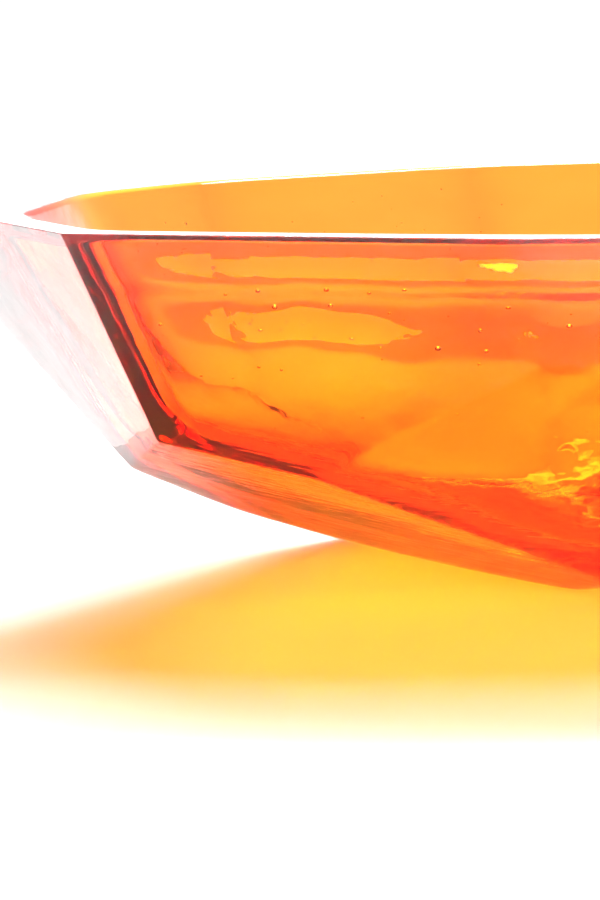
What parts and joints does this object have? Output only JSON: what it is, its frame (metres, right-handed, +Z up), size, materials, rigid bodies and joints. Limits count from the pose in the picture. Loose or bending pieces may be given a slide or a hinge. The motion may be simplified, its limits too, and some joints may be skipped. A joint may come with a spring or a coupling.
{
  "type": "art glass bowl",
  "caption": "Thick amber cast glass bowl with large flat outer facets, a smooth rounded hollow and a flat rim.",
  "frame": {"origin": "centre of the bowl's box, on the surface that it stands on", "axes": "+Z up out of the mouth, +X along the longest way across the rim, pointed end at -X"},
  "size_m": [0.354, 0.287, 0.114],
  "materials": {
    "amber_glass": "fire-polished clear amber glass with seed bubbles"
  },
  "bodies": {
    "root": {"bowl": "amber_glass"}
  },
  "joints": []
}
